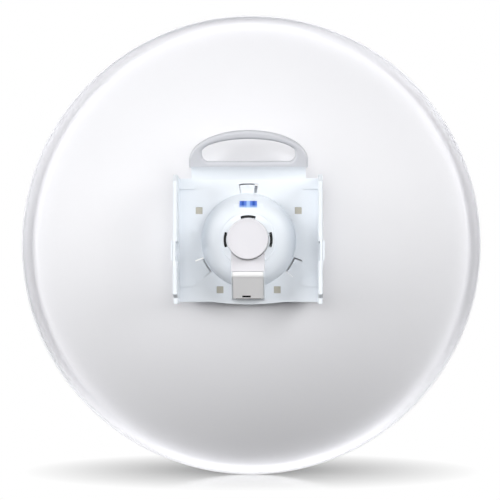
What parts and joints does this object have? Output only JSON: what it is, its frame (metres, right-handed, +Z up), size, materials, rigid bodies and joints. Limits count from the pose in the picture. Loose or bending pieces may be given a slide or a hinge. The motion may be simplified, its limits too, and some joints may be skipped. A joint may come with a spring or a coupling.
{
  "type": "outdoor wireless bridge",
  "caption": "Dish radio bridge: rolled-rim reflector twist-locked to a flanged rear housing with a carrying handle, a slide-in radio feed and a cable port cover",
  "frame": {"origin": "middle of the pivot bolt axis, halfway between the two side flanges of the rear housing", "axes": "+X along the pivot bolt axis, to the right when looking at the rear of the dish; +Y along the dish axis, the way the dish looks; +Z up"},
  "size_m": [0.42, 0.1904, 0.42],
  "materials": {
    "dish_paint": "smooth off-white powder coat",
    "housing_plastic": "fine-textured cool light grey",
    "handle_plastic": "fine-textured cool light grey",
    "cover_plastic": "fine-textured off-white",
    "cap_plastic": "satin off-white",
    "feed_plastic": "satin off-white",
    "radome_plastic": "satin white",
    "snap_black": "black spring plastic",
    "light_blue": "blue lens over the status lights",
    "clear_plastic": "clear polycarbonate",
    "seal_rubber": "black rubber",
    "pad_rubber": "beige-grey soft rubber",
    "reflector_aluminium": "plain aluminium",
    "board_green": "green solder mask",
    "copper": "bare copper",
    "gold_contact": "gold plated spring contacts",
    "screw_steel": "zinc plated steel",
    "jack_plastic": "black plastic",
    "chip_black": "black moulded package",
    "thermal_pad": "grey blue thermal pad",
    "shield_steel": "tinned steel",
    "capacitor_sleeve": "dark sleeve",
    "led_blue": "blue status lights"
  },
  "bodies": {
    "housing": {"rear_housing": "housing_plastic", "carry_handle": "handle_plastic", "handle_screws": "screw_steel", "light_lens": "light_blue", "light_pipe": "clear_plastic", "feed_snap_ring": "snap_black", "cable_grommet": "seal_rubber", "dish_pads": "pad_rubber", "port_hood": "cap_plastic"},
    "dish": {"dish_reflector": "dish_paint"},
    "cover": {"port_cover": "cover_plastic"},
    "feed": {"tail_housing": "feed_plastic", "tail_cap": "cap_plastic", "tail_seal": "seal_rubber", "radome_tube": "radome_plastic", "rear_tube_seal": "seal_rubber", "front_tube_seal": "seal_rubber", "radome_end_cap": "radome_plastic", "sub_reflector": "reflector_aluminium", "radiator_board": "board_green", "radiator_arms": "copper", "radiator_spacer": "feed_plastic", "feed_coax_lines": "copper", "main_board": "board_green", "board_screws": "screw_steel", "ethernet_jack": "jack_plastic", "jack_contacts": "gold_contact", "ethernet_transformer": "chip_black", "processor_chip": "chip_black", "thermal_pad": "thermal_pad", "memory_chip": "chip_black", "heat_spreader": "reflector_aluminium", "rf_shield": "shield_steel", "radio_chip": "chip_black", "power_inductor": "chip_black", "filter_capacitors": "capacitor_sleeve", "led_board": "board_green", "status_leds": "led_blue", "reset_switch": "chip_black"},
    "button": {"reset_button": "feed_plastic"}
  },
  "joints": [
    {"name": "dish_twist", "type": "hinge", "parent": "housing", "child": "dish", "pos_m": [0, 0.02, 0.0105], "axis": [0, -1, 0], "range_deg": [0, 17]},
    {"name": "feed_slide", "type": "slide", "parent": "housing", "child": "feed", "axis": [0, 1, 0], "range_m": [0, 0.06], "deforming": ["feed_snap_ring"]},
    {"name": "port_cover_slide", "type": "slide", "parent": "housing", "child": "cover", "axis": [0, 0, -1], "range_m": [0, 0.03]},
    {"name": "reset_button_press", "type": "slide", "parent": "feed", "child": "button", "axis": [0, 0, 1], "range_m": [0, 0.0005], "stiffness_N_per_m": 1200, "springref_m": -0.0005}
  ]
}
